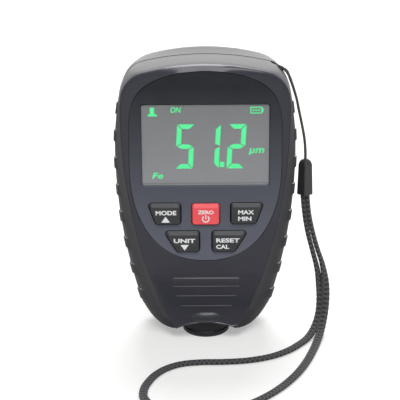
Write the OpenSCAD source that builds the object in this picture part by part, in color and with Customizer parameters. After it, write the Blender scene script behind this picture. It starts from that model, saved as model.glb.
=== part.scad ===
// Hand-held coating thickness gauge: a two-shell pocket housing that stands on its probe foot,
// with a shield-shaped face panel, display, five keys, battery bay and a wrist strap.
// Frame: the probe foot stands at the origin, +Z is up and the face looks towards -Y.

/* [Housing] */
// Width of the housing at the parting line, between the grip ribs
body_w = 62; // [60:0.5:64]
// Height of the crown above the surface
body_h = 100.2; // [98:0.1:104]
// Distance of the face plane in front of the probe axis
face_depth = 13; // [12.6:0.1:14]
// Distance of the back behind the probe axis
back_depth = 14; // [13.6:0.1:15]
// Distance of the parting line behind the probe axis
parting_y = 1.6; // [1.2:0.1:2]
// Wall thickness of the shells
wall = 2; // [1.6:0.1:2.3]
// Distance from the crown down to the widest section
widest_drop = 34.2; // [30:0.5:38]
// Radius of the long curve of the sides, below the widest section
side_r = 188; // [176:2:210]
// Radius of the sides above the widest section
upper_side_r = 100; // [90:1:110]
// Radius of the crown's arch
crown_r = 95; // [85:1:110]
// Radius of the corners between the crown and the sides
corner_r = 10; // [8:0.5:10.5]
// How far the face edge lies inside the parting line at the sides
face_draft = 2.6; // [2:0.1:3]
// Radius of the rim around the face
rim_r = 1; // [0.6:0.1:1.3]
// Radius of the edge around the back
back_r = 3.5; // [2.5:0.1:4]
// How far the brow above the face panel slopes back
brow_back = 1.6; // [1:0.1:2]
// Height of the lowest edge of the housing
toe_z = 2.4; // [2:0.1:3]
// How far the chin slopes back at its lower edge
chin_back = 3; // [2:0.1:3.4]
// Width and depth of the groove along the parting line
parting_groove = 0.25; // [0.1:0.05:0.4]

/* [Grips] */
// Number of grip ribs on each side
rib_count = 8; // [6:1:8]
// Distance from the crown down to the ledge of the first rib
rib_drop = 17; // [16:0.1:18]
// Distance between the ledges
rib_pitch = 9.75; // [9:0.05:9.8]
// Length of each rib along the side
rib_l = 3.8; // [3:0.1:4.5]
// Height of each rib
rib_h = 0.45; // [0.3:0.05:0.6]
// How much the ribs rise towards the face, for each unit of depth
rib_rake = 0.24; // [0:0.02:0.3]

/* [Face] */
// Distance from the parting line's width in to the edge of the shield-shaped panel
shield_margin = 5.6; // [5.4:0.1:6.4]
// Distance from the crown down to the panel's upper edge
shield_drop = 2.9; // [2.8:0.1:3.6]
// Length of the panel from its upper edge to its lower tip
shield_l = 66.2; // [65.5:0.1:67]
// Thickness of the face panel
panel_t = 0.8; // [0.6:0.1:1]
// Thickness of the shell behind the panel
face_wall = 1.4; // [1.2:0.1:1.6]
// Gap around the face panel
panel_gap = 0.2; // [0.1:0.05:0.3]

/* [Display] */
// Width of the display window
window_w = 43.2; // [40:0.2:43.6]
// Height of the display window
window_h = 28.8; // [26:0.2:30]
// Distance from the crown down to the window's centre
window_drop = 28.2; // [27.8:0.1:28.8]
// Corner radius of the window
window_r = 1.2; // [0.6:0.1:2]
// Width of the ledge that carries the window
window_ledge = 1.4; // [1:0.1:1.8]
// Thickness of the display glass
lcd_t = 2.2; // [1.8:0.1:2.4]

/* [Keys] */
// Height of the keys
key_h = 7.4; // [6.8:0.1:7.6]
// Distance from the crown down to the upper row's centre
upper_row_drop = 52.1; // [51.8:0.1:52.4]
// Distance between the centres of the two rows
row_pitch = 10; // [9.6:0.1:10.4]
// Width of the power key
power_key_w = 9.4; // [8.6:0.1:9.8]
// Gap between each key and its opening
key_gap = 0.25; // [0.2:0.05:0.35]
// How far the keys stand out of the panel
key_proud = 1.1; // [0.8:0.1:1.3]
// Height of the lit slope along the top of each key
key_slope = 1.2; // [0.8:0.1:1.5]
// Travel of the keys
key_travel = 0.6; // [0.4:0.1:0.6]
// How far the key flanges reach behind the shell
key_flange = 0.8; // [0.6:0.1:0.9]

/* [Board] */
// Thickness of the main board
board_t = 1.6; // [1.2:0.2:1.6]
// Distance from the parting line's width in to the edge of the main board
board_margin = 8.5; // [8:0.1:9]
// Distance from the shell to the main board
board_gap = 4.6; // [4.4:0.1:4.8]

/* [Battery] */
// Radius of each cell
cell_r = 5.25; // [5.1:0.05:5.3]
// Length of each cell with its nub
cell_l = 44.5; // [44:0.1:44.6]
// Length of the fitted contact springs
cell_spring_l = 6.3; // [5.5:0.1:6.5]
// Radius of the contact springs
cell_spring_r = 3.2; // [2.8:0.1:3.4]
// Distance from the crown down to the bay's lower inner wall
bay_drop = 66.9; // [66.7:0.1:67.3]
// Thickness of the bay walls
bay_wall = 1.2; // [1:0.1:1.4]
// Thickness of the battery cover
cover_t = 2; // [1.6:0.1:2.2]
// Gap around the battery cover
cover_gap = 0.3; // [0.2:0.05:0.4]

/* [Probe] */
// Radius of the probe foot
foot_r = 8.2; // [7.6:0.1:8.4]
// Radius of the sleeve's flange
flange_r = 10; // [9.6:0.1:10.2]
// Radius of the bore that guides the probe core
guide_r = 5.2; // [5:0.1:5.4]
// Radius of the measuring pole
pole_r = 1.6; // [1.4:0.1:1.8]
// Height of the cap that closes the sleeve
cap_z = 18.2; // [18:0.1:18.6]
// Travel of the spring-loaded probe core
probe_travel = 0.8; // [0.5:0.1:0.9]

/* [Strap] */
// Radius of the pin that the strap thread passes round
strap_pin_r = 1.4; // [1.3:0.05:1.5]
// Diameter of the strap thread
thread_d = 0.9; // [0.8:0.05:0.95]
// Width of the braided strap
braid_w = 2.8; // [2.4:0.1:3]
// Thickness of the braided strap
braid_t = 1.3; // [1.1:0.1:1.4]
// Height of the strap clasp
clasp_h = 12.6; // [12:0.2:13]
// Side of the clasp's square section
clasp_side = 4.1; // [3.8:0.1:4.3]

/* [Hidden] */
$fn = 48;

eps = 0.02;
slip = 0.02;
half_w = body_w / 2;
face_y = -face_depth;
back_y = back_depth;
widest_z = body_h - widest_drop;
rib_top_z = body_h - rib_drop;

// Sections of the housing: half width, crown height, height of the widest point, radii of the
// crown, of its corners and of the side above and below, height of the toe and half width of its flat
PARTING = [half_w, body_h - 0.45, widest_z, crown_r, corner_r, upper_side_r, side_r, toe_z, 16.9];
FACE = [
    half_w - face_draft, body_h - 0.7, widest_z + 16, crown_r - 12, corner_r, upper_side_r, side_r,
    toe_z + 1.8, 11.7
];
BACK = [half_w - 1.1, body_h, widest_z, crown_r - 19, corner_r + 2, upper_side_r, side_r, toe_z + 0.8, 13];
heel_z = 10;
heel_turn = 0.2;
toe_lift = 0.4;
crown_z = body_h - 12.6;
rib_front = 0.4;
rib_end = 0.46;
rib_reach = rib_end * (parting_y - face_y - rim_r);
arch_steps = 5;
corner_steps = 7;
toe_steps = 5;
ridge_z = 25;
brow_half_w = 16;
brow_flat = 0.5;
rim_land = 1.1;
ledge_h = 0.3;

// Face panel
shield_half_w = half_w - shield_margin;
shield_top = body_h - shield_drop;
shield_bottom = shield_top - shield_l;
shield_arch = 1.9;
shield_flank = 5.6;
shield_tip = 2.3;
shield_steps = 32;
window_z = body_h - window_drop;
upper_row_z = body_h - upper_row_drop;
lower_row_z = upper_row_z - row_pitch;

// Layers behind the face, from front to back
recess_y = face_y + panel_t;
face_back_y = recess_y + face_wall;
lcd_y = face_back_y + lcd_t;
board_y = face_back_y + board_gap;
board_back_y = board_y + board_t;
key_top_y = face_y - key_proud;
flange_gap = 0.15;
flange_t = 1;
flange_y = face_back_y + flange_gap;
dome_t = 0.4;
key_rest_gap = 0.3;
plunger_end_y = board_y - dome_t - key_travel - key_rest_gap;
mat_front_y = flange_y + flange_t + key_travel + key_rest_gap;

// Floor of the cavity, the shelf above the probe flange and the arch over the foot
floor_z = 9;
flange_t_probe = 2;
shelf_z = floor_z + flange_t_probe + 0.1;
shelf_t = 1.5;
neck_r = flange_r - 3;
neck_gap = 0.3;
cap_t = 1.6;
cap_skirt = 3;
cap_wall = 1.15;
cap_gap = 0.05;
core_low = 1.3 + probe_travel;
core_flange_t = 1.2;
coil_l = 7.2;
core_top = core_low + 2 * core_flange_t + coil_l;
hub_r = pole_r + 1;
groove_depth = 0.8;
probe_spring_r = 3.3;
probe_wire_r = 0.25;
spring_seat = 0.05;
shelf_r = flange_r + 0.6;
arch_r = 25;
arch_z = 6.8;
foot_gap = 0.2;
// Raised edge of the chin along the arch, and the nose above it: place and half sizes
lip_half_l = 10.5;
lip_w = 0.5;
lip_h = 0.3;
NOSE_AT = [0, -8, 9];
NOSE = [8, 4.2, 3];
// Ribs of the chin: half length, height, how deep the centre lies and radius
CHIN_RIBS = [
    [11, 23.9, 1.1, 1.4], [11.3, 21.2, 0.06, 0.38], [10.2, 17.5, 0.06, 0.38], [8.7, 13.5, 0.06, 0.38]
];

// Battery bay and its cover
cell_gap = 0.7;
cell_pitch = 2 * cell_r + 0.4;
contact_t = 0.4;
contact_gap = 0.1;
contact_h = 8;
bay_half_w = cell_r + cell_pitch / 2 + 0.6;
bay_l = cell_l + cell_spring_l + 2 * contact_t + 3 * contact_gap;
bay_z = body_h - bay_drop;
bay_top = bay_z + bay_l;
cell_low = bay_z + contact_t + contact_gap;
cell_high = cell_low + cell_spring_l + contact_gap;
cover_in_y = back_y - cover_t;
cell_y = cover_in_y - cell_gap - cell_r;
bay_floor_y = cell_y - cell_r - 0.3;
cover_ledge = 1.4;
bay_rim = 1.6;
bay_rim_t = 1.5;
cover_half_w = bay_half_w + cover_ledge;
cover_z = bay_z - cover_ledge;
cover_top = bay_top + cover_ledge + 0.8;
cover_turn_y = back_y - cover_t / 2;
cover_turn_z = cover_z + cover_t / 2;
hook_w = 2.6;
hook_t = 1.2;
hook_gap = 0.3;
hook_drop = 2.1;
cell_wire_r = 0.35;
cover_ridges = 4;
ridge_pitch = 1.6;
ridge_r = 0.4;
ridge_l = 10;

// Display stack and the board that carries it
lcd_w = window_w + 1;
lcd_h = window_h + 2.6;
lcd_foot = 3.6;
lcd_top = window_z + lcd_h / 2;
board_half_w = half_w - board_margin;
board_shoulder = upper_row_z - 2;
board_bottom = cap_z + cap_t + 1.2;
board_toe = 9;
board_tab = 9;
board_edge = 2.4;
chip = 9;
chip_t = 1.2;
chip_at = [14, window_z - 8];
lead_count = 8;
lead = [0.36, 0.3, 1.5];
buzzer_r = 4.5;
buzzer_h = 3;
buzzer_hole_r = 0.9;
buzzer_at = [bay_half_w + bay_wall + buzzer_r + 0.6, window_z - 8];
dome_r = 2.5;

// Screws
boss_r = 2.7;
screw_row = lcd_top + boss_r + 1;
SCREW_AT = [[15, screw_row], [-15, screw_row], [14, 22], [-14, 22]];
screw_r = 1.1;
screw_head_r = 2.1;
screw_head_h = 1.5;
post_r = 3.1;
boss_draft = 0.2;
web_t = 1;
web_l = 6;
screw_seat_y = parting_y + 4;
screw_l = 12;
board_screw_r = 0.9;
board_boss_r = 1.9;
board_head_r = 1.6;
board_head_h = 1;
tab_z = lcd_top + board_boss_r + 0.4;
BOARD_SCREW_AT = [[6, tab_z], [-6, tab_z], [11, lower_row_z - 7], [-11, lower_row_z - 7]];

// Keys: inner edge, outer edge at the top, outer edge at the bottom, centre height
UPPER_KEY = [8.4, 19.6, 16.9, upper_row_z];
LOWER_KEY = [2.1, 14.4, 9.8, lower_row_z];
POWER_KEY = [-power_key_w / 2, power_key_w / 2, power_key_w / 2, upper_row_z - 0.2];
key_corner = 1;
key_draft = 0.35;
plunger_r = 2.2;
function key_x(k) = (k[0] + (k[1] + k[2]) / 2) / 2;
KEY_CENTRES = [
    [-key_x(UPPER_KEY), upper_row_z], [0, upper_row_z - 0.2], [key_x(UPPER_KEY), upper_row_z],
    [-key_x(LOWER_KEY), lower_row_z], [key_x(LOWER_KEY), lower_row_z]
];

// Strap eye on the parting line at the right of the crown
eye = [half_w - 9, body_h - 7];
eye_turn = 41;
eye_h = 3;
eye_wall = 1.2;
eye_half_l = strap_pin_r + thread_d + 0.3;
clasp_at = [34.4, parting_y, 49.8];
clasp_top = clasp_at[2] + clasp_h;

// Route of the thread: up from the clasp, round the pin and back down
THREAD_ROUTE = [
    [34.4, 1.1, clasp_top], [34.3, 1.1, 66], [33.9, 1.1, 70], [33, 1.1, 74.8], [32, 1.1, 79.4],
    [31.1, 1.1, 83.7], [30.1, 1.1, 87.2], [29.3, 1.1, 89.6], [28.5, 1.1, 91.8], [27.4, 1.1, 93.6],
    [25.9, 1.1, 95], [24.2, 1.1, 95.6], [22.6, 1.1, 95.5], [21, 1.1, 95], [20, 1.2, 93.8],
    [20, 1.4, 92.4], [21, 1.7, 91.3], [22.5, 1.9, 91.2], [23.7, 2.1, 92.1], [24.8, 2.1, 93.2],
    [25.9, 2.1, 94.1], [27, 2.1, 94.1], [27.9, 2.1, 93.1], [28.5, 2.1, 91.5], [29.3, 2.1, 89.4],
    [30.1, 2.1, 87], [31.1, 2.1, 83.7], [32, 2.1, 79.4], [33, 2.1, 74.8], [33.9, 2.1, 70],
    [34.3, 2.1, 66], [34.4, 2.1, clasp_top]
];
// Route of the wrist loop: down from the clasp, over the surface and back up
LOOP_ROUTE = [
    [33.7, 1.6, 49.8], [34.4, 1.6, 43], [35.6, 1.5, 36], [37.4, 1.4, 29], [39, 1.1, 23],
    [40, 0.4, 17], [40.4, -1, 11.5], [39.8, -3.4, 6.6], [38, -7, 3], [35.4, -11.4, 1.2],
    [32, -16.4, 0.9], [27.6, -21.6, 0.9], [21.6, -26, 0.9], [14, -28.8, 0.9], [6, -29.8, 0.9],
    [-2, -30, 0.9], [-8.6, -31.4, 0.9], [-13.4, -34.6, 0.9], [-16.8, -39, 0.9], [-19, -44, 0.9],
    [-20.4, -49.6, 0.9], [-20.2, -56, 0.9], [-16.6, -62, 0.9], [-10, -65.6, 0.9], [-2, -66.6, 0.9],
    [6, -64.8, 0.9], [13.4, -60.6, 0.9], [19.4, -55, 0.9], [24.4, -48.6, 0.9], [28.4, -42, 0.9],
    [31.6, -35.4, 0.9], [34.2, -28.6, 0.9], [36.4, -21.6, 0.9], [38.4, -14.6, 1.2], [40.2, -8.4, 3],
    [41.6, -4, 7.4], [42.2, -1.4, 12.6], [42, 0.2, 18.2], [40.9, 1.1, 24.2], [39, 1.4, 30],
    [37.2, 1.5, 36.6], [35.9, 1.6, 43], [35.2, 1.6, 49.8]
];

// Blend of two lists of numbers
function mix(a, b, t) = a + (b - a) * t;
// A section drawn in by a distance all round
function drawn_in(s, d) = [
    s[0] - d, s[1] - d, s[2], s[3] - d, s[4] - d, s[5] - d, s[6] - d, s[7] + d, s[8]
];
// Half width of a section at a height, on its long side
function side_x(s, z) = let(r = z > s[2] ? s[5] : s[6]) s[0] - r + sqrt(r * r - (z - s[2]) * (z - s[2]));
// Centre of the arc that rounds the corner between the crown and the side
function corner_centre(s) = let(
    top = [0, s[1] - s[3]],
    side = [s[0] - s[5], s[2]],
    r_top = s[3] - s[4],
    r_side = s[5] - s[4],
    way = side - top,
    d = norm(way),
    along = (r_top * r_top - r_side * r_side + d * d) / (2 * d),
    off = sqrt(r_top * r_top - along * along)
) top + way / d * along + [way[1], -way[0]] / d * off;
// Angles at which the corner's arc leaves the crown and meets the side
function corner_from(s) = let(c = corner_centre(s)) atan2(c[1] - s[1] + s[3], c[0]);
function corner_to(s) = let(c = corner_centre(s)) atan2(c[1] - s[2], c[0] - s[0] + s[5]);
function arc(centre, r, from, to, steps) = [
    for (i = [0 : steps]) let(a = mix(from, to, i / steps)) centre + r * [cos(a), sin(a)]
];
// Half of the crown, from its top to where the side begins
function crown(s, arch, corner) = concat(
    arc([0, s[1] - s[3]], s[3], 90, corner_from(s), arch),
    [for (i = [1 : corner]) arc(corner_centre(s), s[4], corner_from(s), corner_to(s), corner)[i]]
);
// Slope of the long side at the heel
function heel_slope(s) = (s[2] - heel_z) / sqrt(s[6] * s[6] - (s[2] - heel_z) * (s[2] - heel_z));
// Rounded corner between the heel and the flat of the toe
function toe_point(s, low, t) = let(
    a = [side_x(s, low), low],
    b = [side_x(s, low) - (heel_slope(s) + heel_turn) * (low - s[7]), s[7] + toe_lift],
    c = [s[8], s[7]]
) a * (1 - t) * (1 - t) + b * 2 * t * (1 - t) + c * t * t;

// Heights on the long side with the share of the rib that stands out there
function grip_levels(rise) = [
    for (i = [0 : rib_count - 1]) let(z = rib_top_z - i * rib_pitch + rise)
        each [[z + ledge_h, 0], [z, 1], [z - rib_l, 1], [z - rib_l - ledge_h, 0]]
];
plain_steps = 10;
function plain_levels(low) = [
    for (i = [1 : plain_steps - 1]) [mix(crown_z, low, i / plain_steps), 0]
];
// Half outline of a section from the crown to the toe, with ribs of a given height
function half_outline(s, low, levels, rib, arch, corner) = concat(
    crown(s, arch, corner),
    [for (l = levels) [side_x(s, l[0]) + rib * l[1], l[0]]],
    [for (i = [0 : toe_steps]) toe_point(s, low, i / toe_steps)],
    [[0, s[7]]]
);
// How far the chin slopes back at a height
function chin_slope(z) = chin_back * max(0, ridge_z - z) / (ridge_z - toe_z);
// How far the brow slopes back at a point of the rim
function brow(p) = p[1] < crown_z ? 0 : brow_back * max(0, 1 - p[0] * p[0] / (brow_half_w * brow_half_w));
// A closed ring from a half outline: a depth, the share of the chin's slope and of the brow
function ring(half, y, chin, crest) = let(
    right = [for (p = half) [p[0], y + chin * chin_slope(p[1]) + crest * brow(p), p[1]]],
    last = len(half) - 1
) concat(right, [for (i = [last - 1 : -1 : 1]) [-right[i][0], right[i][1], right[i][2]]]);

// Solid skinned over closed rings that are listed from front to back
module skin(rings) {
    n = len(rings[0]);
    m = n / 2;
    top = len(rings) - 1;
    sides = [
        for (k = [0 : top - 1], i = [0 : n - 1]) let(j = (i + 1) % n, a = k * n, b = a + n)
            each [[a + i, b + j, a + j], [a + i, b + i, b + j]]
    ];
    front = [
        for (i = [0 : m - 1]) let(j = (n - i) % n, l = n - i - 1)
            each i == 0 ? [[0, 1, n - 1]] : i == m - 1 ? [[i, m, j]] : [[i, l, j], [i, i + 1, l]]
    ];
    back = [for (f = front) [f[0] + top * n, f[2] + top * n, f[1] + top * n]];
    polyhedron(points = [for (r = rings) each r], faces = concat(front, sides, back));
}

// Outline of a section with grip ribs, which rise with the distance in front of the parting line
function grip_outline(s, rib, ahead) =
    half_outline(s, heel_z, grip_levels(rib_rake * ahead), rib, arch_steps, corner_steps);
// Outer ring of the front shell at a share of its depth
function front_ring(t, inset, rib) = let(
    s = drawn_in(mix(PARTING, FACE, t * (0.45 + 0.55 * t)), inset),
    depth = parting_y - face_y - rim_r
) ring(grip_outline(s, rib, depth * min(t, rib_end)), parting_y - depth * t, t, t);
// Rounded rim of the face at an angle
function rim_ring(angle) = ring(
    grip_outline(drawn_in(FACE, rim_r * (1 - cos(angle))), 0, rib_reach),
    face_y + rim_r * (1 - sin(angle)), 1, 1 - brow_flat * sin(angle) * sin(angle)
);
// Flat of the face inside the rim
function face_land_ring() = ring(grip_outline(drawn_in(FACE, rim_r + rim_land), 0, rib_reach), face_y, 1, 0);
// Outer ring of the rear shell at a share of its depth
function rear_ring(t, inset, rib) = let(
    depth = back_y - back_r - parting_y
) ring(
    grip_outline(drawn_in(mix(PARTING, BACK, t * t), inset), rib, -depth * t), parting_y + depth * t, 0, 0
);
// Rounded edge of the back at an angle
function edge_ring(angle) = ring(
    grip_outline(drawn_in(BACK, back_r * (1 - cos(angle))), 0, parting_y + back_r - back_y),
    back_y - back_r * (1 - sin(angle)), 0, 0
);
// Ring of a cavity, drawn in by the wall and floored above the probe
function cavity_ring(s, y, chin) = let(
    d = drawn_in(s, wall),
    inner = [d[0], d[1], d[2], d[3], d[4], d[5], d[6], floor_z, d[8]],
    low = floor_z + 4
) ring(half_outline(inner, low, plain_levels(low), 0, 3, 5), y, chin, 0);

// Extrudes a shape drawn in X and Z from one depth to another
module slab_y(from, to) {
    translate([0, to, 0]) rotate([90, 0, 0]) linear_extrude(to - from) children();
}
// Cylinder along Y from one depth to another
module rod_y(at, r, from, to) {
    translate([at[0], from, at[1]]) rotate([-90, 0, 0]) cylinder(h = to - from, r = r);
}
// Moulded boss along Y that narrows from its root to its tip
module boss_y(at, r, root, tip) {
    t = sign(tip - root) * 0.2;
    hull() {
        rod_y(at, r + boss_draft, min(root, root + t), max(root, root + t));
        rod_y(at, r, min(tip, tip - t), max(tip, tip - t));
    }
}
// Web that stiffens a post of the rear shell, above or below it
module post_web(at, up) {
    root = back_y - wall + 0.4;
    hull() {
        translate([at[0] - web_t / 2, parting_y + 3, at[1]]) cube([web_t, root - parting_y - 3, 0.2]);
        translate([at[0] - web_t / 2, root - 0.2, at[1] + up * web_l - 0.1]) cube([web_t, 0.2, 0.2]);
    }
}
module rounded_rect(w, h, r) {
    square([w - 2 * r, h], center = true);
    square([w, h - 2 * r], center = true);
    for (x = [-1, 1], z = [-1, 1]) translate([x * (w / 2 - r), z * (h / 2 - r)]) circle(r);
}
// Part of an oval whose two exponents shape its flanks and its ends
function oval(a, b, p, q, from, to, steps) = [
    for (i = [0 : steps]) let(angle = mix(from, to, i / steps), c = cos(angle), s = sin(angle))
        [sign(c) * a * pow(abs(c), 2 / p), sign(s) * b * pow(abs(s), 2 / q)]
];
// Outline of the shield-shaped panel, grown by a gap
module shield(grow) {
    a = shield_half_w + grow;
    upper = oval(a, shield_top - widest_z + grow, shield_arch, shield_flank, 0, 180, shield_steps);
    lower = oval(a, widest_z - shield_bottom + grow, shield_tip, shield_tip, 180, 360, shield_steps);
    translate([0, widest_z]) polygon(concat(upper, [for (i = [1 : shield_steps - 1]) lower[i]]));
}
// Outline of a key, grown by a gap, with its upper edge lowered by a drop
module key_outline(k, grow, drop = 0) {
    top = k[3] + key_h / 2 - drop;
    low = k[3] - key_h / 2;
    outer = mix(k[1], k[2], drop / key_h);
    offset(r = key_corner + grow, $fn = 16) offset(delta = -key_corner)
        polygon([[k[0], low], [k[2], low], [outer, top], [k[0], top]]);
}
module key_outlines(grow) {
    for (k = [UPPER_KEY, LOWER_KEY], side = [0, 1]) mirror([side, 0]) key_outline(k, grow);
    key_outline(POWER_KEY, grow);
}
module at_window() {
    translate([0, window_z]) children();
}
// Sweeps a flat oval along a route, with its width square to a fixed direction
module swept(route, w, t, sides, along) {
    last = len(route) - 1;
    points = [
        for (i = [0 : last]) let(
            d = route[min(i + 1, last)] - route[max(i - 1, 0)],
            u = cross(d, along),
            across = u / norm(u),
            v = cross(across, d),
            over = v / norm(v)
        ) for (k = [0 : sides - 1]) let(a = 360 * k / sides)
            route[i] + across * w / 2 * cos(a) + over * t / 2 * sin(a)
    ];
    walls = [
        for (i = [0 : last - 1], k = [0 : sides - 1]) let(
            a = i * sides + k, b = i * sides + (k + 1) % sides
        ) each [[a, b, b + sides], [a, b + sides, a + sides]]
    ];
    start = [for (k = [sides - 1 : -1 : 0]) k];
    end = [for (k = [0 : sides - 1]) last * sides + k];
    polyhedron(points = points, faces = concat([start], walls, [end]));
}
coil_steps = 12;
function coil_route(r, z0, z1, turns) = [
    for (i = [0 : turns * coil_steps]) let(s = i / (turns * coil_steps), a = 360 * turns * s)
        [r * cos(a), r * sin(a), mix(z0, z1, s)]
];
module coil_spring(r, wire_r, z0, z1, turns) {
    swept(coil_route(r, z0 + wire_r, z1 - wire_r, turns), 2 * wire_r, 2 * wire_r, 6, [0, 0, 1]);
}

// Places a shape at the strap eye, with X along the outward direction
module at_eye() {
    translate([eye[0], parting_y, eye[1]]) rotate([0, -eye_turn, 0]) children();
}
module eye_block() {
    reach = eye_half_l + eye_wall;
    at_eye() translate([-reach, -eye_h / 2 - 2, -reach]) cube([reach + 1, eye_h + 4, 2 * reach]);
}
module eye_slot() {
    at_eye() translate([-eye_half_l, -eye_h / 2, -eye_half_l])
        cube([2 * eye_half_l + 4, eye_h, 2 * eye_half_l]);
    rod_y(eye, strap_pin_r + slip, parting_y - eye_h, parting_y + eye_h);
}
// Opening for the probe sleeve and the arch that frees the foot
module foot_opening() {
    translate([0, 0, -1]) cylinder(h = floor_z + 2, r = foot_r + foot_gap);
    rod_y([0, arch_z - arch_r], arch_r, -20, 20, $fn = 120);
}
module probe_shelf(r) {
    translate([0, 0, shelf_z]) cylinder(h = shelf_t, r = r);
}
module neck_hole() {
    translate([0, 0, floor_z]) cylinder(h = 6, r = neck_r + neck_gap);
    translate([0, 0, floor_z]) cylinder(h = shelf_z - floor_z, r = flange_r + neck_gap);
}
module before_parting() {
    translate([-body_w, parting_y - body_w, -body_h]) cube([2 * body_w, body_w, 3 * body_h]);
}
module behind_parting() {
    translate([-body_w, parting_y, -body_h]) cube([2 * body_w, body_w, 3 * body_h]);
}
// Flared lip that follows the arch on the slope of the chin
module chin_lip() {
    slope = chin_back / (ridge_z - toe_z);
    intersection() {
        multmatrix([[1, 0, 0, 0], [0, 1, -slope, face_y + slope * ridge_z], [0, 0, 1, 0]])
            translate([0, -lip_h, arch_z - arch_r]) rotate([-90, 0, 0])
                cylinder(h = 2 * lip_h, r1 = arch_r + lip_w / 3, r2 = arch_r + lip_w * 5 / 3, $fn = 120);
        translate([-lip_half_l, face_y, toe_z]) cube([2 * lip_half_l, face_depth, arch_z]);
    }
}
// Nose over the probe, lip and fine ribs of the chin
module chin_relief() {
    translate(NOSE_AT) scale(NOSE) sphere(1, $fn = 24);
    chin_lip();
    for (l = CHIN_RIBS) hull() for (side = [-1, 1])
        translate([side * l[0], face_y + chin_slope(l[1]) + l[2], l[1]]) sphere(l[3], $fn = 12);
}

module front_shell() {
    $fn = 32;
    color([0.2, 0.2, 0.22]) difference() {
        union() {
            difference() {
                union() {
                    skin(concat(
                        [face_land_ring()],
                        [for (a = [90, 60, 30]) rim_ring(a)],
                        [for (t = [1, 0.75, rib_end]) front_ring(t, 0, 0)],
                        [for (t = [rib_front, 0.02]) front_ring(t, 0, rib_h)],
                        [front_ring(0, parting_groove, rib_h)]
                    ));
                    chin_relief();
                }
                skin([
                    cavity_ring(FACE, face_back_y, 1),
                    cavity_ring(mix(PARTING, FACE, 0.4), mix(parting_y, face_back_y, 0.5), 0.5),
                    cavity_ring(PARTING, parting_y + 1, 0)
                ]);
            }
            for (p = SCREW_AT) boss_y(p, boss_r, face_back_y - 0.4 + chin_slope(p[1]), parting_y);
            for (p = BOARD_SCREW_AT) rod_y(p, board_boss_r, face_back_y - 0.4, board_y);
            intersection() {
                union() {
                    probe_shelf(shelf_r);
                    eye_block();
                }
                before_parting();
            }
        }
        slab_y(face_y - 2, recess_y) shield(panel_gap);
        slab_y(recess_y - 1, face_back_y + 0.3) {
            at_window() rounded_rect(window_w - 2 * window_ledge, window_h - 2 * window_ledge, window_r);
            key_outlines(key_gap);
        }
        foot_opening();
        neck_hole();
        eye_slot();
        for (p = SCREW_AT) rod_y(p, screw_r + slip, screw_seat_y - screw_l, parting_y + 1);
        for (p = BOARD_SCREW_AT) rod_y(p, board_screw_r + slip, face_back_y, board_y + 1);
    }
}

module rear_shell() {
    $fn = 32;
    color([0.2, 0.2, 0.22]) difference() {
        union() {
            difference() {
                skin(concat(
                    [rear_ring(0, parting_groove, rib_h), rear_ring(0.03, 0, rib_h)],
                    [rear_ring(0.5, 0, rib_h), rear_ring(0.75, 0, rib_h), rear_ring(0.82, 0, 0)],
                    [rear_ring(1, 0, 0)],
                    [for (a = [25, 50, 70, 90]) edge_ring(a)]
                ));
                skin([
                    cavity_ring(PARTING, parting_y - 1, 0),
                    cavity_ring(mix(PARTING, BACK, 0.5), back_y - back_r - 1, 0),
                    cavity_ring(drawn_in(BACK, back_r - wall + 0.6), back_y - wall, 0)
                ]);
            }
            for (p = SCREW_AT) {
                boss_y(p, post_r, back_y - wall + 0.4, parting_y);
                post_web(p, sign(p[1] - widest_z));
            }
            slab_y(bay_floor_y - bay_wall, back_y - wall + 0.4) bay_plan(bay_wall);
            slab_y(cover_in_y - bay_rim_t, back_y - wall + 0.4) bay_plan(cover_ledge + cover_gap + bay_rim);
            intersection() {
                union() {
                    probe_shelf(back_y - wall + 0.6);
                    eye_block();
                }
                behind_parting();
            }
        }
        slab_y(bay_floor_y, back_y + 1) bay_plan(0);
        slab_y(cover_in_y - 0.1, back_y + 1) cover_plan(cover_gap);
        hook_notch();
        foot_opening();
        neck_hole();
        eye_slot();
        for (p = SCREW_AT) {
            rod_y(p, screw_r + 0.2, parting_y - 1, back_y);
            rod_y(p, screw_head_r + 0.3, screw_seat_y, back_y + 1);
        }
    }
}
module bay_plan(grow) {
    translate([-bay_half_w - grow, bay_z - grow]) square([2 * (bay_half_w + grow), bay_l + 2 * grow]);
}
module cover_plan(grow) {
    translate([0, (cover_z + cover_top) / 2])
        rounded_rect(2 * (cover_half_w + grow), cover_top - cover_z + 2 * grow, 0.6);
}
module hook_notch() {
    reach = cover_t + hook_gap + hook_t + hook_drop;
    translate([-hook_w / 2 - 0.4, back_y - reach, cover_z - hook_drop - 0.4])
        cube([hook_w + 0.8, reach - cover_t, hook_drop + 0.4 + cover_ledge + 2.2]);
}

module face_panel() {
    color([0.24, 0.25, 0.29]) slab_y(face_y, recess_y) difference() {
        shield(0);
        at_window() rounded_rect(window_w, window_h, window_r);
        key_outlines(key_gap);
    }
}
module display_window() {
    color([0.5, 0.52, 0.54, 0.5]) slab_y(face_y + 0.05, recess_y) at_window()
        rounded_rect(window_w - 0.2, window_h - 0.2, window_r);
}
module lcd_glass() {
    color([0.52, 0.53, 0.54]) slab_y(face_back_y, lcd_y) at_window() square([lcd_w, lcd_h], center = true);
}
module lcd_backlight() {
    color([0.9, 0.92, 0.9]) slab_y(lcd_y, board_y) at_window()
        translate([-lcd_w / 2, lcd_foot - lcd_h / 2]) square([lcd_w, lcd_h - lcd_foot]);
}
module zebra_strip() {
    color([0.75, 0.55, 0.6]) slab_y(lcd_y, board_y) at_window()
        translate([-lcd_w / 2 + 2, 0.6 - lcd_h / 2]) square([lcd_w - 4, lcd_foot - 1.2]);
}
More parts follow.
